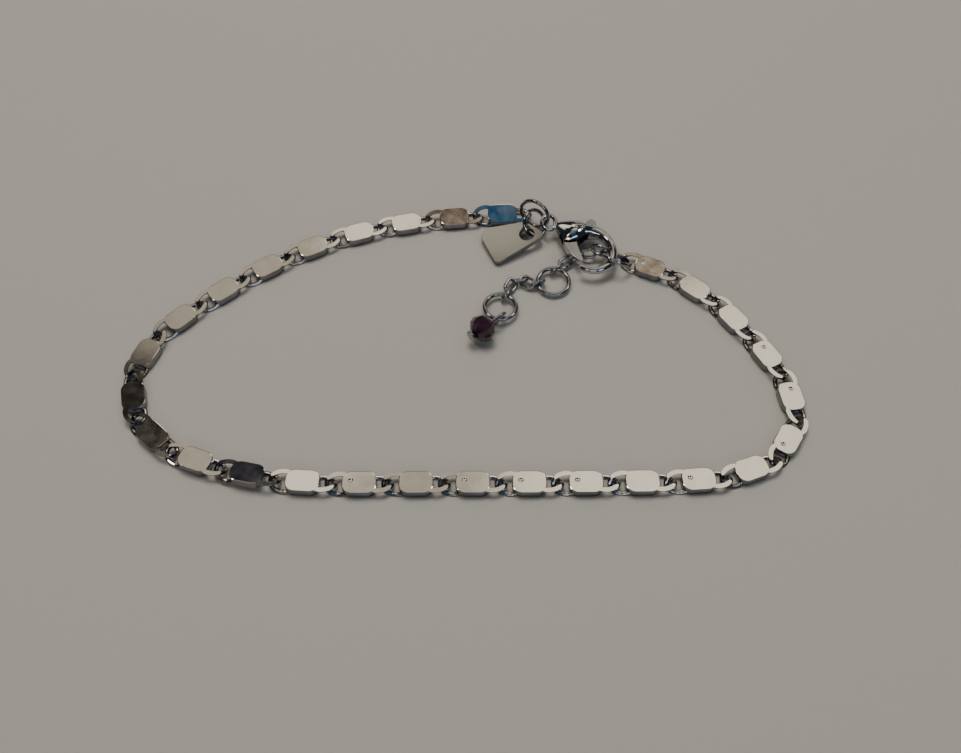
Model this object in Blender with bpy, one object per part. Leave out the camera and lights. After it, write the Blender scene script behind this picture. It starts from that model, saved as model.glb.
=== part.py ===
"""Chain bracelet of bar links with a lobster clasp, a blank tag and an extender that ends in a bead.

Units are metres and +Z is up. The bracelet lies closed on a flat surface as a long loop.
X runs along the front row of links, Y runs away from the viewer, and the origin is under
the middle of the whole piece, on the surface.
"""
import math

import bmesh
import bpy
from mathutils import Euler, Matrix, Vector

MM = 0.001

# Bar links: a solid plate with a twisted wire eye at each end, all cut flat on top and below.
LINK_COUNT = 28
PITCH = 6.0 * MM
PLATE_LENGTH = 3.65 * MM
PLATE_WIDTH = 2.6 * MM
PLATE_THICKNESS = 1.1 * MM
PLATE_CORNER = 1.0 * MM
PLATE_CORNER_STEPS = 2
LINK_WIRE = 0.52 * MM
EYE_HALF_WIDTH = 0.98 * MM
EYE_RISE = 0.5 * MM
EYE_PLAY = 0.4 * MM
EYE_ROOT = 0.7 * MM
EYE_ROOT_SHARES = (0.9, 0.5)
EYE_LEAD = 0.1 * MM
EYE_STEPS = 6

# Round rings, and the small links of the extender. The tag's ring is the smallest of the five.
RING_WIRE = 0.42 * MM
RING_RADIUS = 1.89 * MM
TAG_RING_RADIUS = 1.7 * MM
SMALL_WIRE = 0.34 * MM
SMALL_LENGTH = 2.2 * MM
SMALL_WIDTH = 1.5 * MM
RING_SEGMENTS = 16
WIRE_SIDES = 6

# Lobster clasp, in its own frame: u runs from the eye to the nose, v to its left.
CLASP_EYE_LONG = 1.12 * MM
CLASP_EYE_WIDE = 0.82 * MM
CLASP_EYE_LEAN = 35.0
CLASP_EYE_WIRE = 0.6 * MM
BODY_SIDES = 12

# Each row is a station of the clasp: u, v and the full width there, in millimetres.
BODY_ROUTE = [
    (0.95, 0.1, 0.9), (1.5, 0.22, 1.9), (2.2, 0.3, 2.9), (3.0, 0.33, 3.85), (3.7, 0.3, 4.2),
    (4.3, 0.15, 3.5), (4.75, 0.0, 2.1), (4.9, -0.05, 0.9),
]
BODY_DEPTH_RATIO = 0.62
HOOK_ROUTE = [
    (3.4, 0.7, 2.3), (4.3, 1.4, 2.0), (5.1, 1.95, 1.65), (6.1, 2.2, 1.35), (7.3, 2.02, 1.22),
    (8.45, 1.35, 1.15), (9.25, 0.3, 1.12), (9.58, -0.85, 1.04), (9.3, -2.0, 0.9),
    (8.65, -2.8, 0.78), (7.85, -3.22, 0.72), (7.0, -3.28, 0.66),
]
HOOK_DEPTH_RATIO = 1.15
HOOK_STEPS = 2
HOOK_SIDES = 8
LEVER_THICKNESS = 0.8 * MM
LEVER_PLAY = 0.2 * MM
SLOT_START = 2.37 * MM
SLOT_END = 5.2 * MM
PIVOT = Vector((3.7, -0.1, 0.0)) * MM
RIVET_RADIUS = 0.3 * MM
RIVET_PLAY = 0.14 * MM
RIVET_LENGTH = 2.4 * MM
LEVER_OUTLINE = [
    (4.05, 3.4), (4.6, 3.4), (4.95, 2.95), (4.7, 2.3), (4.3, 1.2), (4.2, 0.2), (4.45, -0.5),
    (4.96, -1.04), (5.95, -1.83), (6.85, -2.5), (6.9, -2.68), (6.6, -2.8), (6.3, -2.9),
    (5.0, -2.58), (3.99, -2.19), (3.2, -1.5), (2.8, -0.6), (2.85, 0.5), (3.2, 1.4), (3.75, 2.2),
    (3.75, 3.0),
]

# Blank tag: outline in plan, counted from its lowest corner, with one round hole.
TAG_CORNERS = [(0.0, 0.0), (6.1, 3.95), (3.6, 5.95), (-1.5, 5.2), (-1.95, 4.1)]
TAG_CORNER_RADIUS = 0.55 * MM
TAG_THICKNESS = 0.75 * MM
TAG_HOLE_CENTRE = Vector((3.75, 4.1, 0.0)) * MM
TAG_HOLE_RADIUS = 0.95 * MM

# Faceted bead and the pin through it.
BEAD_RADIUS = 1.7 * MM
BEAD_LENGTH = 2.7 * MM
BEAD_FACETS_ROUND = 10
BEAD_FACET_ROWS = 6
BEAD_HOLE_RADIUS = 0.35 * MM
PIN_WIRE = 0.42 * MM
PIN_LOOP_RADIUS = 0.9 * MM
PIN_GAP = 0.15 * MM
PIN_HEAD_RADIUS = 0.72 * MM
PIN_HEAD_THICKNESS = 0.28 * MM
PIN_LOOP_TURN = 330.0
PIN_LOOP_STEPS = 14

# How it lies. The chain's route is the line of the joints between links, from the clasp's eye
# round to the end ring. A tilt rolls a link about its own length, in degrees.
CHAIN_ROUTE = [
    (8.3, 23.0), (-3.7, 22.0), (-15.2, 18.7), (-25.4, 12.5), (-34.2, 4.3), (-36.3, -1.3), (-34.8, -7.1),
    (-30.3, -11.0), (-18.7, -14.2), (-0.7, -14.2), (23.3, -13.6), (29.2, -13.1), (34.8, -10.9),
    (38.1, -5.8), (37.1, 0.1), (34.1, 5.3), (30.6, 10.1), (25.9, 13.9), (20.4, 16.2),
]
LINK_TILTS = {1: -14.0, 2: -2.0, 12: 4.0, 13: 10.0, 14: 2.0}
CLASP_PLACE = (11.02, 21.12, 1.7)
CLASP_HEADING = -36.7
TAG_PLACE = (4.65, 15.3, 0.06)
TAG_SLOPE = 8.5
TAG_SLOPE_HEADING = 47.6
BEAD_PLACE = (3.03, 5.06, 1.72)
PIN_HEADING = 39.8
PIN_SLOPE = 3.7
PIN_LOOP_LEAN = -114.2

# Each place holds a centre in millimetres, the heading, the lean about that heading and the pitch.
RING_PLACES = {
    "clasp_ring": ((9.26, 22.13, 2.11), -29.6, -99.0, 0.0),
    "tag_ring": ((9.31, 21.09, 1.45), 57.2, 47.2, 0.0),
    "end_ring": ((19.04, 15.96, 1.41), -34.1, -39.5, 0.0),
    "extender_ring_1": ((11.44, 12.78, 0.67), 0.0, 5.0, 0.0),
    "extender_ring_2": ((5.10, 8.83, 0.84), -17.7, -2.5, 0.0),
}
SMALL_CHAIN_1 = [
    ((16.98, 16.90, 1.71), 147.2, 112.7, 9.8),
    ((15.73, 16.94, 0.91), -178.0, -10.0, 15.0),
    ((14.31, 16.65, 0.57), -151.0, 36.0, 3.0),
    ((13.01, 15.73, 0.62), -142.0, -23.0, -4.0),
    ((11.85, 14.66, 0.77), -134.0, 70.0, -2.0),
]
SMALL_CHAIN_2 = [
    ((9.50, 12.43, 0.72), -155.0, 65.0, -1.0),
    ((8.33, 12.60, 0.72), 147.0, -23.0, 1.0),
    ((7.44, 12.92, 0.68), -168.0, 49.0, 0.0),
    ((6.34, 12.20, 0.55), -120.0, -27.0, 2.0),
    ((5.82, 10.84, 0.75), -117.0, 62.0, -1.0),
]

ROUTE_STEPS = 200
WELD = 0.002 * MM
BIG = 8.0 * MM


def clear_scene():
    for obj in list(bpy.data.objects):
        bpy.data.objects.remove(obj, do_unlink=True)


def new_collection(name):
    collection = bpy.data.collections.new(name)
    bpy.context.scene.collection.children.link(collection)
    return collection


def new_material(name, colour, roughness, metallic):
    material = bpy.data.materials.new(name)
    material.use_nodes = True
    shader = material.node_tree.nodes["Principled BSDF"]
    shader.inputs["Base Color"].default_value = (*colour, 1.0)
    shader.inputs["Roughness"].default_value = roughness
    shader.inputs["Metallic"].default_value = metallic
    return material


def add_object(name, mesh, collection):
    obj = bpy.data.objects.new(name, mesh)
    collection.objects.link(obj)
    return obj


def add_cutter(name, mesh):
    obj = add_object(name, mesh, cutters)
    obj.hide_render = True
    obj.display_type = "WIRE"
    return obj


def mesh_from(bm, name):
    mesh = bpy.data.meshes.new(name)
    bm.to_mesh(mesh)
    bm.free()
    return mesh


def evaluated_mesh(obj):
    graph = bpy.context.evaluated_depsgraph_get()
    mesh = bpy.data.meshes.new_from_object(obj.evaluated_get(graph))
    bm = bmesh.new()
    bm.from_mesh(mesh)
    bmesh.ops.remove_doubles(bm, verts=bm.verts, dist=WELD)
    bm.to_mesh(mesh)
    bm.free()
    return mesh


def wire_mesh(points, width, closed=False, width_shares=None, sides=None):
    """Round wire along a polyline, with as many sides as WIRE_SIDES unless told otherwise."""
    curve = bpy.data.curves.new("wire", "CURVE")
    curve.dimensions = "3D"
    curve.bevel_depth = width / 2
    curve.bevel_resolution = (sides or WIRE_SIDES) // 2 - 2
    curve.use_fill_caps = not closed
    spline = curve.splines.new("POLY")
    spline.points.add(len(points) - 1)
    spline.use_cyclic_u = closed
    for index, point in enumerate(points):
        spline.points[index].co = (*point, 1.0)
        if width_shares:
            spline.points[index].radius = width_shares[index]
    obj = add_object("wire", curve, cutters)
    mesh = evaluated_mesh(obj)
    bpy.data.objects.remove(obj, do_unlink=True)
    return mesh


def prism_mesh(outline, bottom, top):
    """Straight-sided plate from a plan outline given anticlockwise."""
    bm = bmesh.new()
    corners = [bm.verts.new((x, y, bottom)) for x, y in outline]
    face = bm.faces.new(corners)
    raised = bmesh.ops.extrude_face_region(bm, geom=[face])["geom"]
    top_corners = [item for item in raised if isinstance(item, bmesh.types.BMVert)]
    bmesh.ops.translate(bm, verts=top_corners, vec=(0.0, 0.0, top - bottom))
    bmesh.ops.recalc_face_normals(bm, faces=bm.faces)
    return mesh_from(bm, "prism")


def cylinder_mesh(radius, length, sides, matrix):
    bm = bmesh.new()
    bmesh.ops.create_cone(
        bm, cap_ends=True, segments=sides, radius1=radius, radius2=radius, depth=length, matrix=matrix
    )
    return mesh_from(bm, "cylinder")


def combine(target, mesh, operation):
    """Join, cut or intersect the target with another closed mesh and keep the result."""
    other = add_cutter("tool", mesh)
    modifier = target.modifiers.new(operation.lower(), "BOOLEAN")
    modifier.operation = operation
    modifier.solver = "EXACT"
    modifier.object = other
    result = evaluated_mesh(target)
    target.modifiers.clear()
    target.data = result
    bpy.data.objects.remove(other, do_unlink=True)


def finish(obj, material, smooth_degrees=30.0):
    obj.data.materials.clear()
    obj.data.materials.append(material)
    obj.data.shade_smooth()
    obj.data.set_sharp_from_angle(angle=math.radians(smooth_degrees))


def between(values, t):
    """Catmull-Rom value at t from 0 to 1 between the second and third of four values."""
    before, start, end, after = values
    linear = end - before
    square = 2 * before - 5 * start + 4 * end - after
    cube = 3 * start - before - 3 * end + after
    return 0.5 * (2 * start + linear * t + square * t ** 2 + cube * t ** 3)


def smooth_route(route, steps):
    """Catmull-Rom curve through the route's points, with the given steps between two of them."""
    first = tuple(2 * a - b for a, b in zip(route[0], route[1]))
    last = tuple(2 * a - b for a, b in zip(route[-1], route[-2]))
    points = [first, *route, last]
    curve = []
    for index in range(1, len(points) - 2):
        nearest = points[index - 1:index + 3]
        for step in range(steps):
            t = step / steps
            curve.append(tuple(between(values, t) for values in zip(*nearest)))
    curve.append(tuple(route[-1]))
    return curve


def walk_joints(route, count, pitch):
    """Joints one pitch apart along the route: each is where the curve leaves the last one's circle."""
    curve = [Vector(point) * MM for point in smooth_route(route, ROUTE_STEPS)]
    past_end = (curve[-1] - curve[-2]).normalized() * pitch
    curve.append(curve[-1] + past_end)
    joints = [curve[0]]
    index = 1
    for _ in range(count):
        start = joints[-1]
        while (curve[index] - start).length < pitch:
            index += 1
        inner, outer = curve[index - 1], curve[index]
        inner_reach = (inner - start).length
        outer_reach = (outer - start).length
        joints.append(inner.lerp(outer, (pitch - inner_reach) / (outer_reach - inner_reach)))
    return joints


def leaned_frame(heading, lean, pitch):
    """Rotation with x along the heading, its plane leaned about x, then x raised or lowered by pitch."""
    turn = Matrix.Rotation(math.radians(heading), 3, "Z")
    across = turn @ Vector((0.0, 1.0, 0.0))
    lean_turn = Matrix.Rotation(math.radians(lean), 3, "X")
    return Matrix.Rotation(math.radians(pitch), 3, across) @ turn @ lean_turn


def place_matrix(centre, heading, lean, pitch):
    return Matrix.Translation(Vector(centre) * MM) @ leaned_frame(heading, lean, pitch).to_4x4()


def eye_points(side):
    """Wire of one eye: it leaves the plate high on one edge and returns low on the other."""
    end = PITCH / 2 + (LINK_WIRE + EYE_PLAY) / 2
    start = PLATE_LENGTH / 2 + EYE_LEAD
    width_share, rise_share = EYE_ROOT_SHARES
    leave = [
        (PLATE_LENGTH / 2 - EYE_ROOT, -width_share * EYE_HALF_WIDTH, rise_share * EYE_RISE),
        (start, -EYE_HALF_WIDTH, EYE_RISE),
    ]
    bend = []
    for step in range(1, EYE_STEPS + 1):
        angle = math.pi * step / (EYE_STEPS + 1) - math.pi / 2
        across = math.sin(angle)
        # This S curve is level where the wire leaves the plate and steepest in the middle of the bend.
        steep = (3.0 * across - across ** 3) / 2
        bend.append((start + (end - start) * math.cos(angle), EYE_HALF_WIDTH * across, -EYE_RISE * steep))
    back = [(x, -y, -z) for x, y, z in reversed(leave)]
    return [(side * x, side * y, z) for x, y, z in leave + bend + back]


def plate_outline():
    """Oval plate: its corners are rounded almost to a half circle at each end."""
    half_length = PLATE_LENGTH / 2
    half_width = PLATE_WIDTH / 2
    corners = [(half_length, half_width), (-half_length, half_width), (-half_length, -half_width),
               (half_length, -half_width)]
    return rounded_outline([Vector(corner) for corner in corners], PLATE_CORNER, PLATE_CORNER_STEPS)


def build_link_mesh():
    half = PLATE_THICKNESS / 2
    link = add_object("link", prism_mesh(plate_outline(), -half, half), cutters)
    for side in (1, -1):
        combine(link, wire_mesh(eye_points(side), LINK_WIRE), "UNION")
    slab = [(-BIG, -BIG), (BIG, -BIG), (BIG, BIG), (-BIG, BIG)]
    combine(link, prism_mesh(slab, -half, half), "INTERSECT")
    mesh = link.data
    bpy.data.objects.remove(link, do_unlink=True)
    return mesh


def build_chain(material):
    """Lay every link between its two joints. A tilted link rests on its lower edge."""
    joints = walk_joints(CHAIN_ROUTE, LINK_COUNT, PITCH)
    mesh = build_link_mesh()
    for number in range(1, LINK_COUNT + 1):
        start, end = joints[number - 1], joints[number]
        along = end - start
        if along.x < 0:
            along = -along
        heading = math.atan2(along.y, along.x)
        tilt = math.radians(LINK_TILTS.get(number, 0.0))
        height = PLATE_THICKNESS / 2 * math.cos(tilt) + PLATE_WIDTH / 2 * abs(math.sin(tilt))
        link = add_object(f"chain_link_{number:02d}", mesh, bracelet)
        middle = (start + end) / 2
        link.location = (middle.x, middle.y, height)
        link.rotation_euler = Euler((-tilt, 0.0, heading), "XYZ")
        if number == 1:
            finish(link, material)


def oval_mesh(half_length, half_width, width):
    """Closed round wire bent to an oval, its longer axis along y."""
    points = []
    for step in range(RING_SEGMENTS):
        angle = 2 * math.pi * step / RING_SEGMENTS
        points.append((half_width * math.cos(angle), half_length * math.sin(angle), 0.0))
    return wire_mesh(points, width, closed=True)


def build_rings(material):
    large = oval_mesh(RING_RADIUS, RING_RADIUS, RING_WIRE)
    small = oval_mesh(TAG_RING_RADIUS, TAG_RING_RADIUS, RING_WIRE)
    for name, place in RING_PLACES.items():
        ring = add_object(name, small if name == "tag_ring" else large, bracelet)
        ring.matrix_world = place_matrix(*place)
        finish(ring, material, 60.0)


def small_link_mesh():
    """Oval wire link with straight sides."""
    radius = (SMALL_WIDTH - SMALL_WIRE) / 2
    straight = (SMALL_LENGTH - SMALL_WIRE) / 2 - radius
    points = []
    for side in (1, -1):
        for step in range(6):
            angle = math.pi * step / 5 - math.pi / 2
            x = straight + radius * math.cos(angle)
            y = radius * math.sin(angle)
            points.append((side * x, side * y, 0.0))
    return wire_mesh(points, SMALL_WIRE, closed=True)


def build_small_chain(name, places, material):
    """Short run of small links that are soldered where they cross, so they make one body."""
    chain = add_object(name, small_link_mesh(), bracelet)
    chain.data.transform(place_matrix(*places[0]))
    for place in places[1:]:
        link = small_link_mesh()
        link.transform(place_matrix(*place))
        combine(chain, link, "UNION")
    finish(chain, material, 60.0)


def swept_mesh(route, steps, sides, depth_ratio):
    """Round bar along a route of stations, each with its width, then flattened or deepened."""
    stations = smooth_route(route, steps)
    widest = max(width for _, _, width in stations)
    points = [(u * MM, v * MM, 0.0) for u, v, _ in stations]
    shares = [width / widest for _, _, width in stations]
    mesh = wire_mesh(points, widest * MM, width_shares=shares, sides=sides)
    mesh.transform(Matrix.Diagonal((1.0, 1.0, depth_ratio, 1.0)))
    return mesh


def clasp_place():
    turn = Matrix.Rotation(math.radians(CLASP_HEADING), 4, "Z")
    return Matrix.Translation(Vector(CLASP_PLACE) * MM) @ turn


def build_clasp_body(material):
    """Eye, rounded body and hook as one casting, slotted for the lever, with the rivet across."""
    eye = oval_mesh(CLASP_EYE_LONG, CLASP_EYE_WIDE, CLASP_EYE_WIRE)
    eye.transform(Matrix.Rotation(math.radians(CLASP_EYE_LEAN), 4, "Z"))
    body = add_object("clasp_body", eye, bracelet)
    combine(body, swept_mesh(BODY_ROUTE, 1, BODY_SIDES, BODY_DEPTH_RATIO), "UNION")
    combine(body, swept_mesh(HOOK_ROUTE, HOOK_STEPS, HOOK_SIDES, HOOK_DEPTH_RATIO), "UNION")
    slot_half = LEVER_THICKNESS / 2 + LEVER_PLAY
    slot = [(SLOT_START, -BIG), (SLOT_END, -BIG), (SLOT_END, BIG), (SLOT_START, BIG)]
    combine(body, prism_mesh(slot, -slot_half, slot_half), "DIFFERENCE")
    rivet = cylinder_mesh(RIVET_RADIUS, RIVET_LENGTH, 10, Matrix.Translation(PIVOT))
    combine(body, rivet, "UNION")
    body.matrix_world = clasp_place()
    finish(body, material, 50.0)


def build_clasp_lever(material):
    """Lever with its thumb tab and gate. Its origin is on the rivet's axis."""
    half = LEVER_THICKNESS / 2
    outline = [(u * MM - PIVOT.x, v * MM - PIVOT.y) for u, v in reversed(LEVER_OUTLINE)]
    lever = add_object("clasp_lever", prism_mesh(outline, -half, half), bracelet)
    hole = cylinder_mesh(RIVET_RADIUS + RIVET_PLAY, BIG, 12, Matrix.Identity(4))
    combine(lever, hole, "DIFFERENCE")
    lever.matrix_world = clasp_place() @ Matrix.Translation(PIVOT)
    finish(lever, material)


def rounded_outline(corners, radius, steps):
    """Replace each corner of a plan outline by an arc of the given radius."""
    outline = []
    count = len(corners)
    for index, corner in enumerate(corners):
        to_last = (corners[index - 1] - corner).normalized()
        to_next = (corners[(index + 1) % count] - corner).normalized()
        half_angle = to_last.angle(to_next) / 2
        inward = (to_last + to_next).normalized()
        centre = corner + inward * radius / math.sin(half_angle)
        middle_angle = math.atan2(-inward.y, -inward.x)
        sweep = math.pi - 2 * half_angle
        for step in range(steps + 1):
            angle = middle_angle + sweep * (step / steps - 0.5)
            outline.append((centre.x + radius * math.cos(angle), centre.y + radius * math.sin(angle)))
    return outline


def build_tag(material):
    """Flat polished tag with one hole, its far side raised by the ring that passes under it."""
    corners = [Vector((x, y)) * MM for x, y in TAG_CORNERS]
    outline = rounded_outline(corners, TAG_CORNER_RADIUS, 4)
    tag = add_object("tag", prism_mesh(outline, 0.0, TAG_THICKNESS), bracelet)
    hole = cylinder_mesh(TAG_HOLE_RADIUS, BIG, 16, Matrix.Translation(TAG_HOLE_CENTRE))
    combine(tag, hole, "DIFFERENCE")
    across = math.radians(TAG_SLOPE_HEADING - 90.0)
    axis = Vector((math.cos(across), math.sin(across), 0.0))
    slope = Matrix.Rotation(math.radians(TAG_SLOPE), 4, axis)
    tag.matrix_world = Matrix.Translation(Vector(TAG_PLACE) * MM) @ slope
    finish(tag, material)


def pin_axes():
    """Direction of the bead's pin towards its loop, and the loop's second direction."""
    heading = math.radians(PIN_HEADING)
    slope = math.radians(PIN_SLOPE)
    lean = math.radians(PIN_LOOP_LEAN)
    along = Vector((
        math.cos(heading) * math.cos(slope),
        math.sin(heading) * math.cos(slope),
        math.sin(slope),
    ))
    side = along.cross(Vector((0.0, 0.0, 1.0))).normalized()
    up = side.cross(along)
    return along, math.cos(lean) * side + math.sin(lean) * up


def bead_matrix():
    along, across = pin_axes()
    turn = Matrix((across, along.cross(across), along)).transposed().to_4x4()
    return Matrix.Translation(Vector(BEAD_PLACE) * MM) @ turn


def build_bead(material):
    """Faceted rondelle: a coarse ball, shorter along its hole than it is wide."""
    bm = bmesh.new()
    squash = Matrix.Diagonal((1.0, 1.0, BEAD_LENGTH / (2 * BEAD_RADIUS), 1.0))
    bmesh.ops.create_uvsphere(
        bm, u_segments=BEAD_FACETS_ROUND, v_segments=BEAD_FACET_ROWS, radius=BEAD_RADIUS, matrix=squash
    )
    bead = add_object("bead", mesh_from(bm, "bead"), bracelet)
    combine(bead, cylinder_mesh(BEAD_HOLE_RADIUS, BIG, 12, Matrix.Identity(4)), "DIFFERENCE")
    bead.matrix_world = bead_matrix()
    bead.data.materials.append(material)


def build_bead_pin(material):
    """Head, straight shank and open loop of one bent wire, with z along the shank.

    The loop is bent to one side, so the shank runs into it like the stem of a P.
    """
    loop_height = BEAD_LENGTH / 2 + PIN_GAP + PIN_WIRE / 2 + PIN_LOOP_RADIUS
    head_height = -BEAD_LENGTH / 2 - PIN_GAP
    shank_start = (0.0, 0.0, head_height - PIN_HEAD_THICKNESS / 2)
    points = [shank_start]
    for step in range(PIN_LOOP_STEPS + 1):
        angle = math.radians(PIN_LOOP_TURN * step / PIN_LOOP_STEPS)
        x = PIN_LOOP_RADIUS - PIN_LOOP_RADIUS * math.cos(angle)
        z = loop_height + PIN_LOOP_RADIUS * math.sin(angle)
        points.append((x, 0.0, z))
    pin = add_object("bead_pin", wire_mesh(points, PIN_WIRE), bracelet)
    head_middle = Matrix.Translation(shank_start)
    combine(pin, cylinder_mesh(PIN_HEAD_RADIUS, PIN_HEAD_THICKNESS, 14, head_middle), "UNION")
    pin.matrix_world = bead_matrix()
    finish(pin, material, 50.0)


def centre_on_surface(collection):
    """Move everything so that the origin is under the middle of the bounding box."""
    bpy.context.view_layer.update()
    corners = []
    for obj in collection.objects:
        corners += [obj.matrix_world @ vertex.co for vertex in obj.data.vertices]
    low = Vector(min(corner[axis] for corner in corners) for axis in range(3))
    high = Vector(max(corner[axis] for corner in corners) for axis in range(3))
    shift = Vector((-(low.x + high.x) / 2, -(low.y + high.y) / 2, -low.z))
    for obj in collection.objects:
        obj.matrix_world = Matrix.Translation(shift) @ obj.matrix_world


clear_scene()
bracelet = new_collection("bar_link_bracelet")
cutters = new_collection("cutters")
plated = new_material("bright_plated_brass", (0.78, 0.77, 0.74), 0.12, 1.0)
plated_clasp = new_material("plated_clasp_casting", (0.70, 0.70, 0.70), 0.15, 1.0)
plated_tag = new_material("polished_tag", (0.72, 0.71, 0.69), 0.06, 1.0)
plated_wire = new_material("plated_wire", (0.66, 0.66, 0.67), 0.16, 1.0)
amethyst_glass = new_material("dark_amethyst_glass", (0.035, 0.012, 0.035), 0.04, 0.0)

build_chain(plated)
build_rings(plated_wire)
build_clasp_body(plated_clasp)
build_clasp_lever(plated_clasp)
build_tag(plated_tag)
build_small_chain("extender_chain_1", SMALL_CHAIN_1, plated_wire)
build_small_chain("extender_chain_2", SMALL_CHAIN_2, plated_wire)
build_bead(amethyst_glass)
build_bead_pin(plated_wire)
centre_on_surface(bracelet)
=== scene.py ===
# %% [markdown]
# A bracelet of flat bar links, lying closed on a pale surface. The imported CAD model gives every
# piece its place. This script dresses it: round wire is made truly round, edges get the thin
# bevels that catch light, and each metal gets the finish of the real one.

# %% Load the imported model
import math

import bmesh
import bpy
import numpy as np
from mathutils import Matrix, Vector


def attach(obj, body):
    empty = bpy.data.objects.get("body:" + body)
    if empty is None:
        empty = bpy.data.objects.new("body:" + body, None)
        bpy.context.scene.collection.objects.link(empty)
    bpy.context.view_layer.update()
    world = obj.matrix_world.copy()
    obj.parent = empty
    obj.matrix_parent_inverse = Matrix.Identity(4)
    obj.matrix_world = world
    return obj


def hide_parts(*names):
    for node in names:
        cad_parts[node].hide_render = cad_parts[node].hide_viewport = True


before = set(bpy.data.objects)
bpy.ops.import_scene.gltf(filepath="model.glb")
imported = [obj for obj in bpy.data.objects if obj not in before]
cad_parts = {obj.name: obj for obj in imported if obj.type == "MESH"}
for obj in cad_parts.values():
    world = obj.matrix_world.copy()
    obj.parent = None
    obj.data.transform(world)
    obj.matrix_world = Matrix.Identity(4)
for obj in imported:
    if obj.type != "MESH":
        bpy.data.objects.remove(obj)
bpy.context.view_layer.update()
MM = 0.001
BODY = "bracelet"
LEVER_BODY = "lever"

# %% [markdown]
# The photograph was taken by hand from above and in front, 58 degrees down. Two numbers were
# worked out from the even spacing of the links: how high the lens was and how long. The same
# camera here makes the links shrink towards the back just as they do in the photograph.

# %% Camera
PHOTO_LENS = 38.46
SENSOR_WIDTH = 36.0
CAMERA_PLACE = Vector((1.979, -66.214, 99.02)) * MM
CAMERA_DOWN = 58.12
CAMERA_ROLL = 0.936
camera_data = bpy.data.cameras.new("photo_camera")
camera_data.lens = PHOTO_LENS
camera_data.sensor_width = SENSOR_WIDTH
camera_data.clip_start = 0.005
camera_data.clip_end = 5.0
camera = bpy.data.objects.new("photo_camera", camera_data)
bpy.context.scene.collection.objects.link(camera)
camera.location = CAMERA_PLACE
tip = Matrix.Rotation(math.radians(90.0 - CAMERA_DOWN), 3, "X")
roll = Matrix.Rotation(math.radians(CAMERA_ROLL), 3, "Z")
camera.rotation_euler = (tip @ roll).to_euler()
bpy.context.scene.camera = camera
print("camera height in mm:", round(camera.location.z / MM, 1))

# %% [markdown]
# Colours are picked as they look on a screen, in sRGB, and Blender computes with linear light,
# so one function turns the hex value. Another adds a shader node with its settings and links,
# which keeps each material down to what is special about it.

# %% Helpers for materials
def linear(hex_colour):
    channels = []
    for start in (1, 3, 5):
        value = int(hex_colour[start:start + 2], 16) / 255
        channels.append(value / 12.92 if value <= 0.04045 else ((value + 0.055) / 1.055) ** 2.4)
    return (*channels, 1.0)


def add_node(tree, kind, settings=None, values=None, links=None):
    node = tree.nodes.new(kind)
    for name, value in (settings or {}).items():
        setattr(node, name, value)
    for name, value in (values or {}).items():
        node.inputs[name].default_value = value
    for name, socket in (links or {}).items():
        tree.links.new(socket, node.inputs[name])
    return node


print("middle grey on a screen, in linear light:", round(linear("#808080")[0], 3))

# %% [markdown]
# The whole bracelet is plated brass, and what differs is how each piece was finished. All of it
# is polished metal in two close tones, with a patchy polish and fine marks. The darker metal of
# the sides is partly painted shade, standing in for the shadowed floor that they mirror. The real
# polishing marks are too fine to show, so the grain here is drawn coarser, at a few tenths of a
# millimetre, and only a few thousandths deep.

# %% Metals
TONE_PATCH = 1.4 * MM


def new_metal(name, light, dark, roughness, spread, grain, depth):
    """Two tones as hex, the lowest roughness and its spread, and the marks' width and depth."""
    material = bpy.data.materials.new(name)
    material.use_nodes = True
    tree = material.node_tree
    shader = tree.nodes["Principled BSDF"]
    shader.inputs["Metallic"].default_value = 1.0
    place = add_node(tree, "ShaderNodeTexCoord").outputs["Object"]
    patches = add_node(tree, "ShaderNodeTexNoise", values={"Scale": 1 / TONE_PATCH, "Detail": 6.0},
                       links={"Vector": place})
    tone = add_node(tree, "ShaderNodeMixRGB", values={"Color1": linear(dark), "Color2": linear(light)},
                    links={"Fac": patches.outputs["Fac"]})
    tree.links.new(tone.outputs["Color"], shader.inputs["Base Color"])
    gloss = add_node(tree, "ShaderNodeMapRange",
                     values={"From Min": 0.3, "From Max": 0.7,
                             "To Min": roughness, "To Max": roughness + spread},
                     links={"Value": patches.outputs["Fac"]})
    tree.links.new(gloss.outputs["Result"], shader.inputs["Roughness"])
    marks = add_node(tree, "ShaderNodeTexNoise", values={"Scale": 1 / grain, "Detail": 2.0},
                     links={"Vector": place})
    bump = add_node(tree, "ShaderNodeBump", values={"Strength": 1.0, "Distance": depth},
                    links={"Height": marks.outputs["Fac"]})
    tree.links.new(bump.outputs["Normal"], shader.inputs["Normal"])
    return material


# The tops of the links are cut with a diamond tool: mirrors with a slight waviness.
diamond_cut = new_metal("diamond_cut_bright_plating", "#f4efe6", "#d9d3c9",
                        0.07, 0.06, 0.5 * MM, 0.0012 * MM)
# Their sides were only tumbled with small stones: a duller and more uneven grey, painted darker as painted
# shade for the shadowed floor that the walls mirror.
side_plating_with_painted_shade = new_metal("tumbled_plating_with_painted_shade", "#a2a2a5", "#5c5d61", 0.10, 0.10, 0.35 * MM, 0.014 * MM)
# Wire was drawn through a die before it was plated: smooth, and darker than the tops.
wire_plating = new_metal("drawn_wire_plating", "#b2b3b7", "#7b7d82", 0.07, 0.06, 0.3 * MM, 0.003 * MM)
# The clasp was cast and then polished: the brightest of the round pieces.
clasp_plating = new_metal("cast_clasp_plating", "#d0d0d1", "#a2a3a6", 0.05, 0.06, 0.5 * MM, 0.003 * MM)
# The tag was stamped from polished sheet: an almost flawless warm grey mirror.
tag_plating = new_metal("stamped_tag_plating", "#9a9792", "#8b8883", 0.06, 0.04, 0.8 * MM, 0.0005 * MM)
print("metals:", [m.name for m in bpy.data.materials])

# %% [markdown]
# A wire is a circle carried along a path. The circle is extruded from station to station and
# turned square to the path each time, as a bending machine would feed it. A radius of its own
# for each station turns the same sweep into a tapered bar.

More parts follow.
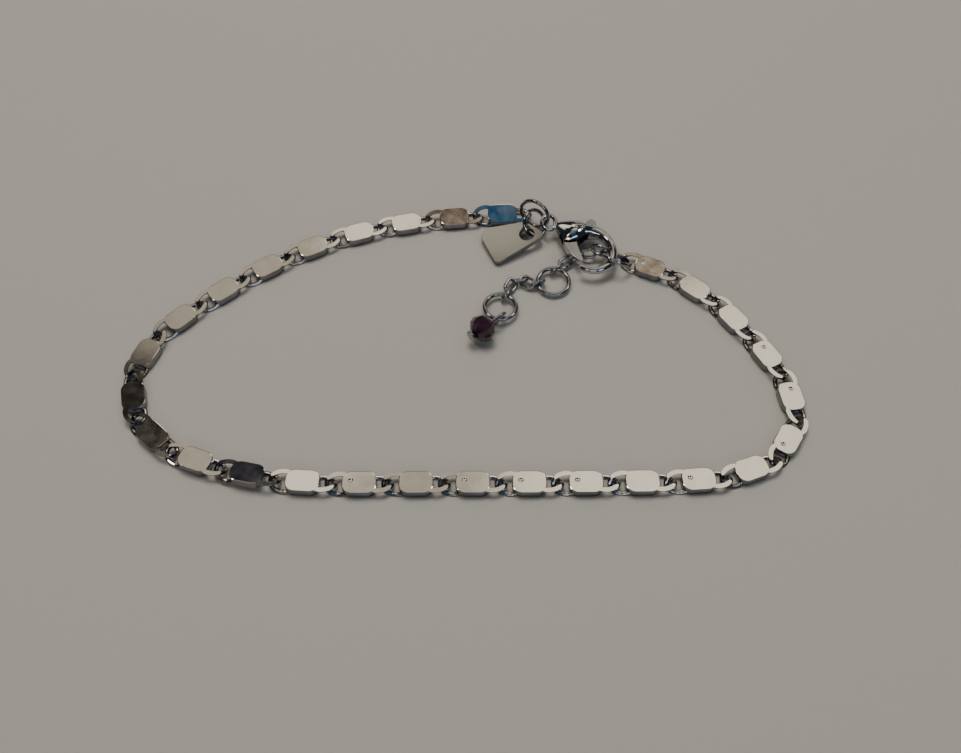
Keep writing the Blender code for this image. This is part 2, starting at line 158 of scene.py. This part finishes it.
# %% Wire along a path
def path_frames(path, closed):
    """A matrix for each station, with its Z along the path and as little twist as can be."""
    frames = []
    count = len(path)
    last_side = None
    for index, point in enumerate(path):
        after = path[(index + 1) % count] if closed or index < count - 1 else point
        before = path[index - 1] if closed or index > 0 else point
        along = (after - before).normalized()
        if last_side is None:
            last_side = along.orthogonal().normalized()
        side = (last_side - along * last_side.dot(along)).normalized()
        last_side = side
        turn = Matrix((side, along.cross(side), along)).transposed().to_4x4()
        frames.append(Matrix.Translation(point) @ turn)
    return frames


def add_wire(bm, path, radii, sides, closed=False):
    """Sweep a circle along the path, with one radius for each station."""
    stations = [f @ Matrix.Scale(r, 4) for f, r in zip(path_frames(path, closed), radii)]
    ring = bmesh.ops.create_circle(bm, cap_ends=False, segments=sides, radius=1.0, matrix=stations[0])
    first = list(dict.fromkeys(edge for vert in ring["verts"] for edge in vert.link_edges))
    edges = first
    for last_station, station in zip(stations, stations[1:]):
        grown = bmesh.ops.extrude_edge_only(bm, edges=edges)["geom"]
        verts = {item for item in grown if isinstance(item, bmesh.types.BMVert)}
        bmesh.ops.transform(bm, matrix=station @ last_station.inverted(), verts=list(verts))
        edges = [item for item in grown if isinstance(item, bmesh.types.BMEdge)
                 and item.verts[0] in verts and item.verts[1] in verts]
    if closed:
        bmesh.ops.bridge_loops(bm, edges=first + edges)
    else:
        bmesh.ops.holes_fill(bm, edges=first, sides=0)
        bmesh.ops.holes_fill(bm, edges=edges, sides=0)


sample = bmesh.new()
add_wire(sample, [Vector((0, 0, 0)), Vector((0, 0, MM))], [0.25 * MM, 0.25 * MM], sides=12)
print("a sample millimetre of wire, in cubic mm:", round(sample.calc_volume() / MM ** 3, 3))
sample.free()

# %% [markdown]
# Solids are joined or cut with an exact boolean, which gives one clean closed skin. A finished
# piece then gets its place in its own vertices, its materials, smooth shading between soft
# edges, and a body to ride on, so that it moves with the solid that it replaces.

# %% Joining and placing pieces
MANY_SIDED = 16


def mesh_of(bm, name):
    bmesh.ops.recalc_face_normals(bm, faces=bm.faces)
    mesh = bpy.data.meshes.new(name)
    bm.to_mesh(mesh)
    bm.free()
    return mesh


def in_scene(name, mesh):
    obj = bpy.data.objects.new(name, mesh)
    bpy.context.scene.collection.objects.link(obj)
    return obj


def join_solids(first, second, operation):
    """Boolean of two closed meshes, as a new mesh."""
    objects = [in_scene("tool", mesh) for mesh in (first, second)]
    modifier = objects[0].modifiers.new("join", "BOOLEAN")
    modifier.operation = operation
    modifier.solver = "EXACT"
    modifier.object = objects[1]
    graph = bpy.context.evaluated_depsgraph_get()
    result = bpy.data.meshes.new_from_object(objects[0].evaluated_get(graph))
    for obj in objects:
        bpy.data.objects.remove(obj, do_unlink=True)
    return result


def place_piece(name, mesh, matrix, materials, node, sharp, body=BODY):
    """Place a copy of the mesh, keep which face has which material, and hand it to its body."""
    mesh = mesh.copy()
    mesh.transform(matrix)
    kinds = [polygon.material_index for polygon in mesh.polygons]
    mesh.materials.clear()
    for material in materials:
        mesh.materials.append(material)
    mesh.polygons.foreach_set("material_index", kinds)
    mesh.shade_smooth()
    mesh.set_sharp_from_angle(angle=math.radians(sharp))
    # A face with many corners is a cut flat, and smooth shading would smear light across it.
    for polygon in mesh.polygons:
        if len(polygon.vertices) > MANY_SIDED:
            polygon.use_smooth = False
    obj = in_scene(name, mesh)
    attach(obj, body)
    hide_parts(node)
    return obj


print("bodies to ride on:", BODY, "and", LEVER_BODY)

# %% [markdown]
# Every CAD link and ring is a rigid copy of one shape. Its long, middle and short directions are
# read from its own vertices, so a new piece can be laid exactly where the node lies.

# %% Where a node lies
def node_place(node):
    """Middle of the node and its long, middle and short axes, as a matrix."""
    points = np.array([vert.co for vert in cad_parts[node].data.vertices])
    points = np.unique(np.round(points, 7), axis=0)
    _, axes = np.linalg.eigh(np.cov(points.T))
    long_axis = Vector(axes[:, 2])
    short_axis = Vector(axes[:, 0])
    if short_axis.z < 0:
        short_axis = -short_axis
    if long_axis.x < 0:
        long_axis = -long_axis
    mid_axis = short_axis.cross(long_axis)
    turn = Matrix((long_axis, mid_axis, short_axis)).transposed()
    local = points @ np.array(turn)
    middle = turn @ Vector((local.min(0) + local.max(0)) / 2)
    return Matrix.Translation(middle) @ turn.to_4x4()


print("link 16 lies at mm:", [round(v / MM, 2) for v in node_place("chain_link_16").translation])

# %% [markdown]
# One link is a small solid plate with an eye of wire bent out of each end. Each eye leaves the
# plate high on one side and comes back low on the other, so that the next eye can pass through.
# After bending, the whole link is cut flat, which leaves bright flats on the wire too. The cut
# of the eyes is a hair lower than the plate, so that the two flats don't fight for one plane.

# %% Bar link
PITCH = 6.0 * MM
PLATE = Vector((3.65, 2.6, 1.1)) * MM
PLATE_CORNER = 1.0 * MM
PLATE_RIM = 0.08 * MM
LINK_WIRE = 0.52 * MM
EYE_HALF = 0.98 * MM
EYE_RISE = 0.5 * MM
EYE_PLAY = 0.4 * MM
EYE_SHOULDER = 0.1 * MM
EYE_ROOT = 0.7 * MM
CUT_SINK = 0.004 * MM


def eye_path(side):
    """The wire leaves high on one edge, drops steeply round the end and comes back low."""
    end = PITCH / 2 + (LINK_WIRE + EYE_PLAY) / 2
    start = PLATE.x / 2 + EYE_SHOULDER
    points = [Vector((PLATE.x / 2 - EYE_ROOT, -0.9 * EYE_HALF, 0.5 * EYE_RISE))]
    for step in range(17):
        angle = math.pi * step / 16 - math.pi / 2
        across = math.sin(angle)
        drop = (3 * across - across ** 3) / 2
        reach = start + (end - start) * math.cos(angle)
        points.append(Vector((reach, EYE_HALF * across, -EYE_RISE * drop)))
    points.append(Vector((points[0].x, -points[0].y, -points[0].z)))
    return [Vector((side * p.x, side * p.y, p.z)) for p in points]


def cut_flat(bm, height):
    """Slice off what stands above or below the height and close the cut."""
    for sign in (1, -1):
        cut = bmesh.ops.bisect_plane(bm, geom=bm.verts[:] + bm.edges[:] + bm.faces[:], dist=1e-8,
                                     plane_co=(0, 0, sign * height), plane_no=(0, 0, sign),
                                     clear_outer=True)
        edges = [item for item in cut["geom_cut"] if isinstance(item, bmesh.types.BMEdge)]
        bmesh.ops.holes_fill(bm, edges=edges, sides=0)


def bar_link():
    bm = bmesh.new()
    bmesh.ops.create_cube(bm, size=1.0, matrix=Matrix.Diagonal((*PLATE, 1.0)))
    upright = [e for e in bm.edges if abs(e.verts[0].co.z - e.verts[1].co.z) > 0.5 * PLATE.z]
    bmesh.ops.bevel(bm, geom=upright, offset=PLATE_CORNER, offset_type="OFFSET", affect="EDGES",
                    segments=6, profile=0.5, material=-1)
    rims = [e for e in bm.edges if abs(e.verts[0].co.z - e.verts[1].co.z) < 1e-7]
    bmesh.ops.bevel(bm, geom=rims, offset=PLATE_RIM, offset_type="OFFSET", affect="EDGES",
                    segments=2, profile=0.5, material=-1)
    link = mesh_of(bm, "plate")
    for side in (1, -1):
        bm = bmesh.new()
        path = eye_path(side)
        add_wire(bm, path, [LINK_WIRE / 2] * len(path), sides=14)
        cut_flat(bm, PLATE.z / 2 - CUT_SINK)
        link = join_solids(link, mesh_of(bm, "eye"), "UNION")
    for polygon in link.polygons:
        # Upward faces get the bright cut metal, all others the darker side metal, whose darkness is partly
        # painted shade.
        polygon.material_index = 0 if abs(polygon.normal.z) > 0.9 else 1
    return link


link_mesh = bar_link()
print("faces in a link:", len(link_mesh.polygons))

# %% [markdown]
# Nine of the plates have a small round dent in the left third of the top, from wear. A ball
# that sinks a tenth of a millimetre into the plate and is cut away leaves just such a dent.

# %% Dents, and all the links in their places
DENTED = (15, 17, 18, 19, 21, 23, 24, 25, 28)
DENT_BALL = 0.45 * MM
DENT_PLACE = Vector((-0.9, 0.2, 0.89)) * MM


def dented(link):
    bm = bmesh.new()
    bmesh.ops.create_uvsphere(bm, u_segments=24, v_segments=16, radius=DENT_BALL,
                              matrix=Matrix.Translation(DENT_PLACE))
    return join_solids(link.copy(), mesh_of(bm, "ball"), "DIFFERENCE")


dented_mesh = dented(link_mesh)
links = sorted(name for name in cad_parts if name.startswith("chain_link"))
for name in links:
    mesh = dented_mesh if int(name[-2:]) in DENTED else link_mesh
    place_piece("bar_" + name[-2:], mesh, node_place(name), (diamond_cut, side_plating_with_painted_shade), name,
                sharp=25.0)
print("links:", len(links), "of them dented:", len(DENTED))

# %% [markdown]
# The rings are jump rings: round wire wound on a rod, sawn into single turns and closed, so each
# keeps a hairline cut. A spin of a small circle through almost a full turn makes that. The table
# gives each ring's middle radius and its wire's width, in millimetres.

# %% Jump rings
RINGS = {
    "clasp_ring": (1.86, 0.47),
    "tag_ring": (1.7, 0.47),
    "end_ring": (1.87, 0.47),
    "extender_ring_1": (1.86, 0.54),
    "extender_ring_2": (1.86, 0.54),
}
RING_CUT = 1.2
RING_STEPS = 56


def jump_ring(radius, width):
    bm = bmesh.new()
    start = Matrix.Translation((radius, 0, 0)) @ Matrix.Rotation(math.pi / 2, 4, "X")
    bmesh.ops.create_circle(bm, cap_ends=False, segments=14, radius=width / 2, matrix=start)
    ring_edges = bm.edges[:]
    turned = bmesh.ops.spin(bm, geom=bm.verts[:] + ring_edges, cent=(0, 0, 0), axis=(0, 0, 1),
                            angle=math.radians(360.0 - RING_CUT), steps=RING_STEPS)
    last_edges = [item for item in turned["geom_last"] if isinstance(item, bmesh.types.BMEdge)]
    bmesh.ops.holes_fill(bm, edges=ring_edges, sides=0)
    bmesh.ops.holes_fill(bm, edges=last_edges, sides=0)
    return mesh_of(bm, "jump_ring")


for name, (radius, width) in RINGS.items():
    place_piece(name.replace("_ring", "_jump_ring"), jump_ring(radius * MM, width * MM),
                node_place(name), (wire_plating,), name, sharp=40.0)
print("rings:", len(RINGS))

# %% [markdown]
# The extender is two short runs of tiny oval links. They lie as they fell, each leaning another
# way, so their places are listed: middle in mm, heading, lean and pitch in degrees. The middles
# were found in the camera's own measure of the floor, and a shift brings them to the model's.

# %% Extender links
SHIFT = Vector((-0.919, -4.273, 0.0))
SMALL_WIRE = 0.40 * MM
SMALL_LENGTH = 2.24 * MM
SMALL_WIDTH = 1.54 * MM
SMALL_LINKS = {
    "extender_chain_1": [
        ((16.98, 16.90, 1.71), 147.2, 112.7, 9.8),
        ((15.73, 16.94, 0.91), -178.0, -10.0, 15.0),
        ((14.31, 16.65, 0.57), -151.0, 36.0, 3.0),
        ((13.01, 15.73, 0.62), -142.0, -23.0, -4.0),
        ((11.85, 14.66, 0.77), -134.0, 70.0, -2.0),
    ],
    "extender_chain_2": [
        ((9.50, 12.43, 0.72), -155.0, 65.0, -1.0),
        ((8.33, 12.60, 0.72), 147.0, -23.0, 1.0),
        ((7.44, 12.92, 0.68), -168.0, 49.0, 0.0),
        ((6.34, 12.20, 0.55), -120.0, -27.0, 2.0),
        ((5.82, 10.84, 0.75), -117.0, 62.0, -1.0),
    ],
}


def leaned(heading, lean, pitch):
    turn = Matrix.Rotation(math.radians(heading), 3, "Z")
    across = turn @ Vector((0.0, 1.0, 0.0))
    return (Matrix.Rotation(math.radians(pitch), 3, across) @ turn
            @ Matrix.Rotation(math.radians(lean), 3, "X"))


def small_link(bm, middle, heading, lean, pitch):
    """An oval of wire: two half circles with short straight legs between them."""
    radius = (SMALL_WIDTH - SMALL_WIRE) / 2
    straight = (SMALL_LENGTH - SMALL_WIRE) / 2 - radius
    place = Matrix.Translation((Vector(middle) + SHIFT) * MM) @ leaned(heading, lean, pitch).to_4x4()
    path = []
    for side in (1, -1):
        for step in range(9):
            angle = math.pi * step / 8 - math.pi / 2
            point = Vector((straight + radius * math.cos(angle), radius * math.sin(angle), 0.0))
            path.append(place @ Vector((side * point.x, side * point.y, 0.0)))
    add_wire(bm, path, [SMALL_WIRE / 2] * len(path), sides=10, closed=True)


for node, places in SMALL_LINKS.items():
    bm = bmesh.new()
    for place in places:
        small_link(bm, *place)
    place_piece(node.replace("chain", "links"), mesh_of(bm, node), Matrix.Identity(4),
                (wire_plating,), node, sharp=60.0)
print("small links:", sum(len(places) for places in SMALL_LINKS.values()))

# %% [markdown]
# The clasp is a small casting: an eye, a rounded body and a hook in one. Body and hook are bars
# of changing width. A few stations give each bar's middle line and width in millimetres, and a
# smooth curve fills in between, as a carver of the wax model would run one stroke into the next.

# %% Bars of the lobster clasp
BODY_ROUTE = [
    (0.95, 0.1, 0.9), (1.5, 0.22, 1.9), (2.2, 0.3, 2.9), (3.0, 0.33, 3.85), (3.7, 0.3, 4.2),
    (4.3, 0.15, 3.5), (4.75, 0.0, 2.1), (4.9, -0.05, 0.9),
]
BODY_DEPTH = 0.62
HOOK_ROUTE = [
    (3.4, 0.7, 2.3), (4.3, 1.4, 2.0), (5.1, 1.95, 1.65), (6.1, 2.2, 1.35), (7.3, 2.02, 1.22),
    (8.45, 1.35, 1.15), (9.25, 0.3, 1.12), (9.58, -0.85, 1.04), (9.3, -2.0, 0.9),
    (8.65, -2.8, 0.78), (7.85, -3.22, 0.72), (7.0, -3.28, 0.66),
]
HOOK_DEPTH = 1.15


def between(a, b, c, d, t):
    """Catmull-Rom curve: the value a share t of the way from b to c, with a and d beyond them."""
    square = 2 * a - 5 * b + 4 * c - d
    cube = 3 * b - a - 3 * c + d
    return 0.5 * (2 * b + (c - a) * t + square * t ** 2 + cube * t ** 3)


def smooth_stations(route, steps):
    first = tuple(2 * a - b for a, b in zip(route[0], route[1]))
    last = tuple(2 * a - b for a, b in zip(route[-1], route[-2]))
    rows = [first, *route, last]
    curve = []
    for index in range(1, len(rows) - 2):
        for step in range(steps):
            curve.append(tuple(between(*values, step / steps) for values in zip(*rows[index - 1:index + 3])))
    curve.append(route[-1])
    return curve


def bar_along(route, depth, name):
    """A round bar along the route, squeezed or stretched in depth."""
    stations = smooth_stations(route, 5)
    bm = bmesh.new()
    path = [Vector((u, v, 0.0)) * MM for u, v, _ in stations]
    add_wire(bm, path, [width / 2 * MM for _, _, width in stations], sides=24)
    bmesh.ops.scale(bm, vec=(1.0, 1.0, depth), verts=bm.verts)
    return mesh_of(bm, name)


clasp_bars = [bar_along(BODY_ROUTE, BODY_DEPTH, "bulge"), bar_along(HOOK_ROUTE, HOOK_DEPTH, "hook")]
print("bars of the clasp:", [mesh.name for mesh in clasp_bars])

# %% [markdown]
# Joined solids have hard seams between them, which a casting never has, so a voxel remesh melts
# them together. The slot for the lever is cut afterwards, so that its edges stay crisp, and the
# rivet that the lever turns on bridges the slot.

# %% Casting of the lobster clasp
CLASP_MIDDLE = Vector((11.02, 21.12, 1.7))
CLASP_TURN = -36.7
CLASP_EYE_LONG = 1.12 * MM
CLASP_EYE_WIDE = 0.82 * MM
CLASP_EYE_LEAN = 35.0
CLASP_EYE_WIRE = 0.6 * MM
CASTING_VOXEL = 0.06 * MM
SOFTENING = 6
SLOT_START = 2.37 * MM
SLOT_END = 5.2 * MM
SLOT_REACH = 8.0 * MM
SLOT_WIDTH = 1.2 * MM
PIVOT = Vector((3.7, -0.1, 0.0)) * MM
RIVET_RADIUS = 0.3 * MM
RIVET_LENGTH = 2.3 * MM


def clasp_eye():
    bm = bmesh.new()
    path = []
    for step in range(40):
        angle = 2 * math.pi * step / 40
        path.append(Vector((CLASP_EYE_WIDE * math.cos(angle), CLASP_EYE_LONG * math.sin(angle), 0.0)))
    add_wire(bm, path, [CLASP_EYE_WIRE / 2] * len(path), sides=16, closed=True)
    bmesh.ops.rotate(bm, matrix=Matrix.Rotation(math.radians(CLASP_EYE_LEAN), 3, "Z"), verts=bm.verts)
    return mesh_of(bm, "clasp_eye")


def remeshed(mesh):
    obj = in_scene("casting", mesh)
    melt = obj.modifiers.new("melt", "REMESH")
    melt.mode = "VOXEL"
    melt.voxel_size = CASTING_VOXEL
    soften = obj.modifiers.new("soften", "SMOOTH")
    soften.iterations = SOFTENING
    graph = bpy.context.evaluated_depsgraph_get()
    result = bpy.data.meshes.new_from_object(obj.evaluated_get(graph))
    bpy.data.objects.remove(obj, do_unlink=True)
    return result


def lever_slot():
    bm = bmesh.new()
    middle = Matrix.Translation(((SLOT_START + SLOT_END) / 2, 0, 0))
    size = Matrix.Diagonal((SLOT_END - SLOT_START, 2 * SLOT_REACH, SLOT_WIDTH, 1.0))
    bmesh.ops.create_cube(bm, size=1.0, matrix=middle @ size)
    return mesh_of(bm, "slot")


def rivet():
    bm = bmesh.new()
    bmesh.ops.create_cone(bm, cap_ends=True, segments=24, radius1=RIVET_RADIUS, radius2=RIVET_RADIUS,
                          depth=RIVET_LENGTH, matrix=Matrix.Translation(PIVOT))
    return mesh_of(bm, "rivet")


clasp = clasp_eye()
for bar in clasp_bars:
    clasp = join_solids(clasp, bar, "UNION")
clasp = join_solids(remeshed(clasp), lever_slot(), "DIFFERENCE")
clasp = join_solids(clasp, rivet(), "UNION")
clasp_place = (Matrix.Translation((CLASP_MIDDLE + SHIFT) * MM)
               @ Matrix.Rotation(math.radians(CLASP_TURN), 4, "Z"))
place_piece("clasp_casting", clasp, clasp_place, (clasp_plating,), "clasp_body",
            sharp=40.0)
print("clasp faces:", len(clasp.polygons))

# %% [markdown]
# The lever and the tag are stamped from sheet. A copy of each CAD node keeps its exact outline:
# its loose triangles are merged, the flat ones dissolved into whole faces, and the rims bevelled,
# because stamped and tumbled sheet always has a soft edge that shines. The tag's two faces are
# polished and its edge is only tumbled, so they get different metals; the edge's darker metal is
# partly painted shade.

# %% Stamped pieces
WELD = 0.002 * MM
FLAT_ANGLE = 1.0
RIM_ANGLE = 60.0
LEVER_RIM = 0.13 * MM
TAG_RIM = 0.10 * MM


def stamped_copy(node, bevel, segments):
    bm = bmesh.new()
    bm.from_mesh(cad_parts[node].data)
    bmesh.ops.remove_doubles(bm, verts=bm.verts, dist=WELD)
    bmesh.ops.dissolve_limit(bm, angle_limit=math.radians(FLAT_ANGLE), verts=bm.verts, edges=bm.edges)
    rims = [e for e in bm.edges if len(e.link_faces) == 2 and e.calc_face_angle() > math.radians(RIM_ANGLE)]
    bmesh.ops.bevel(bm, geom=rims, offset=bevel, offset_type="OFFSET", affect="EDGES", segments=segments,
                    profile=0.5, material=-1, clamp_overlap=True)
    return mesh_of(bm, node)


lever = stamped_copy("clasp_lever", LEVER_RIM, 3)
place_piece("clasp_gate_lever", lever, Matrix.Identity(4), (clasp_plating,), "clasp_lever",
            sharp=50.0, body=LEVER_BODY)
tag = stamped_copy("tag", TAG_RIM, 2)
face_way = max(tag.polygons, key=lambda polygon: polygon.area).normal.copy()
# The faces get the polished tag metal and the edge the darker side metal, partly painted shade.
for polygon in tag.polygons:
    polygon.material_index = 0 if abs(polygon.normal.dot(face_way)) > 0.5 else 1
place_piece("blank_tag", tag, Matrix.Identity(4), (tag_plating, side_plating_with_painted_shade), "tag",
            sharp=25.0)
print("lever faces:", len(lever.polygons), "tag faces:", len(tag.polygons))

# %% [markdown]
# The bead is fire-polished glass: ground facets, slightly softened by heat, so dark a purple
# that only the facets turned to the light show their colour. It is so dark that no light comes
# through, so a glossy surface with the refraction of glass is enough.

# %% Glass bead
BEAD_RIM = 0.02 * MM
GLASS_SWIRL = 1.2 * MM
glass = bpy.data.materials.new("fire_polished_amethyst_glass")
glass.use_nodes = True
tree = glass.node_tree
shader = tree.nodes["Principled BSDF"]
shader.inputs["Roughness"].default_value = 0.05
shader.inputs["IOR"].default_value = 1.52
shader.inputs["Coat Weight"].default_value = 0.3
place = add_node(tree, "ShaderNodeTexCoord").outputs["Object"]
swirl = add_node(tree, "ShaderNodeTexNoise", values={"Scale": 1 / GLASS_SWIRL, "Detail": 2.0},
                 links={"Vector": place})
tint = add_node(tree, "ShaderNodeMixRGB", values={"Color1": linear("#0f070d"), "Color2": linear("#3d2438")},
                links={"Fac": swirl.outputs["Fac"]})
tree.links.new(tint.outputs["Color"], shader.inputs["Base Color"])
bead = stamped_copy("bead", BEAD_RIM, 1)
place_piece("faceted_bead", bead, Matrix.Identity(4), (glass,), "bead", sharp=15.0)
print("bead faces:", len(bead.polygons))

# %% [markdown]
# A head pin runs through the bead: a flat head below, and above it the wire is bent round into
# an open loop that holds the extender's last ring. The pin is made upright, with the bead's
# middle at the origin, and is then turned by its heading, its slope and the lean of its loop.

# %% Head pin
PIN_WIRE = 0.48 * MM
SHANK_STATIONS = (-1.5 * MM, 0.2 * MM, 1.6 * MM)
LOOP_RADIUS = 0.9 * MM
LOOP_HEIGHT = 2.61 * MM
LOOP_TURN = 330.0
HEAD_RADIUS = 0.72 * MM
HEAD_THICKNESS = 0.28 * MM
HEAD_RIM = 0.07 * MM
BEAD_MIDDLE = Vector((3.03, 5.06, 1.72))
PIN_HEADING = 39.8
PIN_SLOPE = 3.7
PIN_LEAN = -114.2


def pin_place():
    heading, slope, lean = (math.radians(angle) for angle in (PIN_HEADING, PIN_SLOPE, PIN_LEAN))
    level = math.cos(slope)
    along = Vector((math.cos(heading) * level, math.sin(heading) * level, math.sin(slope)))
    side = along.cross(Vector((0, 0, 1))).normalized()
    across = math.cos(lean) * side + math.sin(lean) * side.cross(along)
    turn = Matrix((across, along.cross(across), along)).transposed().to_4x4()
    return Matrix.Translation((BEAD_MIDDLE + SHIFT) * MM) @ turn


def pin_shank():
    bm = bmesh.new()
    path = [Vector((0, 0, height)) for height in SHANK_STATIONS]
    for step in range(45):
        angle = math.radians(LOOP_TURN * step / 44)
        out = LOOP_RADIUS * (1 - math.cos(angle))
        path.append(Vector((out, 0, LOOP_HEIGHT + LOOP_RADIUS * math.sin(angle))))
    add_wire(bm, path, [PIN_WIRE / 2] * len(path), sides=14)
    return mesh_of(bm, "shank")


def pin_head():
    bm = bmesh.new()
    middle = Matrix.Translation((0, 0, SHANK_STATIONS[0] - HEAD_THICKNESS / 2))
    bmesh.ops.create_cone(bm, cap_ends=True, segments=36, radius1=HEAD_RADIUS, radius2=HEAD_RADIUS,
                          depth=HEAD_THICKNESS, matrix=middle)
    rims = [e for e in bm.edges if e.calc_face_angle() > math.radians(RIM_ANGLE)]
    bmesh.ops.bevel(bm, geom=rims, offset=HEAD_RIM, offset_type="OFFSET", affect="EDGES", segments=3,
                    profile=0.5, material=-1)
    return mesh_of(bm, "head")


pin = join_solids(pin_shank(), pin_head(), "UNION")
place_piece("head_pin", pin, pin_place(), (wire_plating,), "bead_pin", sharp=50.0)
print("pin faces:", len(pin.polygons))

# %% [markdown]
# The floor is plain, pale and matt, like a sheet of board. It is only there to carry shadows and
# to be mirrored in the undersides, so it is a stage piece and no part of the bracelet.

# %% Floor
FLOOR_HALF = 2.0
bm = bmesh.new()
bmesh.ops.create_grid(bm, x_segments=1, y_segments=1, size=FLOOR_HALF)
floor_mesh = mesh_of(bm, "floor")
floor = in_scene("pale_floor", floor_mesh)
board = bpy.data.materials.new("matt_pale_board")
board.use_nodes = True
board_shader = board.node_tree.nodes["Principled BSDF"]
board_shader.inputs["Base Color"].default_value = linear("#9f9e9c")
board_shader.inputs["Roughness"].default_value = 0.8
floor_mesh.materials.append(board)
print("floor width in m:", 2 * FLOOR_HALF)

# %% [markdown]
# Polished metal shows its surroundings more than itself, so the room matters as much as the
# metal. Each flat link mirrors one small piece of the ceiling, and links that lie a little
# differently mirror another, which is why neighbours differ so much in tone. The room is drawn
# as soft rectangles on a level ceiling. A direction's X and Y divided by its Z say where it
# meets that ceiling, in ceiling heights from the point overhead.

# %% Room
LOWEST_HEIGHT = 0.02
world = bpy.data.worlds.new("studio_room")
bpy.context.scene.world = world
world.use_nodes = True
tree = world.node_tree
background = tree.nodes["Background"]
way = add_node(tree, "ShaderNodeTexCoord").outputs["Generated"]
parts = add_node(tree, "ShaderNodeSeparateXYZ", links={"Vector": way}).outputs


def room_math(operation, first, second=None):
    """A math node on a socket, with a number or another socket as its second value."""
    node = add_node(tree, "ShaderNodeMath", {"operation": operation}, links={0: first})
    if isinstance(second, float):
        node.inputs[1].default_value = second
    elif second is not None:
        tree.links.new(second, node.inputs[1])
    return node.outputs[0]


height = room_math("MAXIMUM", parts["Z"], LOWEST_HEIGHT)
ceiling = [room_math("DIVIDE", parts[axis], height) for axis in "XY"]


def room_patch(last, middle, half, soft, colour):
    """Lay a rectangle of colour with soft edges over what the ceiling shows so far."""
    shares = []
    for way_out, centre, reach in zip(ceiling, middle, half):
        distance = room_math("ABSOLUTE", room_math("SUBTRACT", way_out, centre))
        share = add_node(tree, "ShaderNodeMapRange", {"interpolation_type": "SMOOTHSTEP"},
                         {"From Min": reach + soft, "From Max": reach}, {"Value": distance})
        shares.append(share.outputs["Result"])
    both = room_math("MULTIPLY", *shares)
    mixed = add_node(tree, "ShaderNodeMixRGB", None, {"Color2": colour}, {"Fac": both, "Color1": last})
    return mixed.outputs["Color"]


def light(hex_colour, strength):
    return tuple(channel * strength for channel in linear(hex_colour)[:3]) + (1.0,)


ROOM_BASE = "#2b2d31"
# Columns: name, middle, half size, width of the soft edge, colour and strength.
ROOM_PATCHES = [
    ("grey cream ceiling", (-0.02, 0.62), (0.34, 0.30), 0.12, "#b8b0a2", 1.0),
    ("lit cream ceiling", (0.24, 0.52), (0.17, 0.20), 0.09, "#f6eedd", 1.2),
    ("far lamp glow", (-0.125, 0.86), (0.05, 0.06), 0.03, "#f8f0e0", 1.25),
    ("near lamp glow", (-0.19, 0.56), (0.04, 0.05), 0.03, "#f8f0e0", 1.25),
    ("dark corner on the left", (-0.40, 0.57), (0.07, 0.06), 0.03, "#121214", 1.0),
    ("dark corner behind", (-0.25, 1.03), (0.09, 0.08), 0.04, "#14182a", 1.0),
    ("blue screen", (0.0, 0.20), (0.07, 0.07), 0.03, "#0f4a70", 1.0),
    ("brown beam", (-0.04, 0.75), (0.035, 0.04), 0.02, "#4a3426", 1.0),
    ("brown shelf", (0.206, 0.80), (0.03, 0.03), 0.02, "#6a5240", 1.0),
    ("grey overhead", (0.0, -0.02), (0.40, 0.13), 0.06, "#9a968f", 1.0),
    ("blue in front", (0.15, -0.36), (0.35, 0.12), 0.08, "#22577f", 1.0),
    ("lamp in front", (0.0, -1.6), (0.35, 0.22), 0.08, "#fff4e2", 4.0),
    ("lamp on the left", (-0.62, 0.10), (0.09, 0.12), 0.03, "#fff6e6", 11.0),
    ("lamp on the right", (0.75, 0.25), (0.09, 0.14), 0.03, "#e8f2ff", 9.0),
    ("bright wall behind", (0.0, 1.9), (1.6, 0.35), 0.15, "#fff4e2", 1.8),
    ("cool window", (0.75, -1.2), (0.25, 0.3), 0.10, "#cfe6ff", 3.0),
    ("warm window", (-0.7, -1.1), (0.2, 0.2), 0.08, "#fff4e2", 3.5),
]
base = add_node(tree, "ShaderNodeRGB")
base.outputs[0].default_value = light(ROOM_BASE, 1.0)
sky = base.outputs[0]
for _, middle, half, soft, colour, strength in ROOM_PATCHES:
    sky = room_patch(sky, middle, half, soft, light(colour, strength))
tree.links.new(sky, background.inputs["Color"])
background.inputs["Strength"].default_value = 1.0
print("patches in the room:", len(ROOM_PATCHES))

# %% [markdown]
# The room's patches light the scene softly. One lamp above adds the soft shadow under each link.
# It is hidden from reflections, because it would show in the mirrors as a plain white square.

# %% Lamp
LAMP_PLACE = Vector((-0.02, 0.12, 0.38))
LAMP_SIZE = 0.18
LAMP_POWER = 1.2
lamp_data = bpy.data.lights.new("ceiling_lamp", "AREA")
lamp_data.energy = LAMP_POWER
lamp_data.size = LAMP_SIZE
lamp_data.color = linear("#fff4e2")[:3]
lamp = in_scene("ceiling_lamp", lamp_data)
lamp.location = LAMP_PLACE
lamp.rotation_euler = (-LAMP_PLACE).to_track_quat("-Z", "Y").to_euler()
lamp.visible_glossy = False
print("lamp height in m:", round(lamp.location.z, 2))
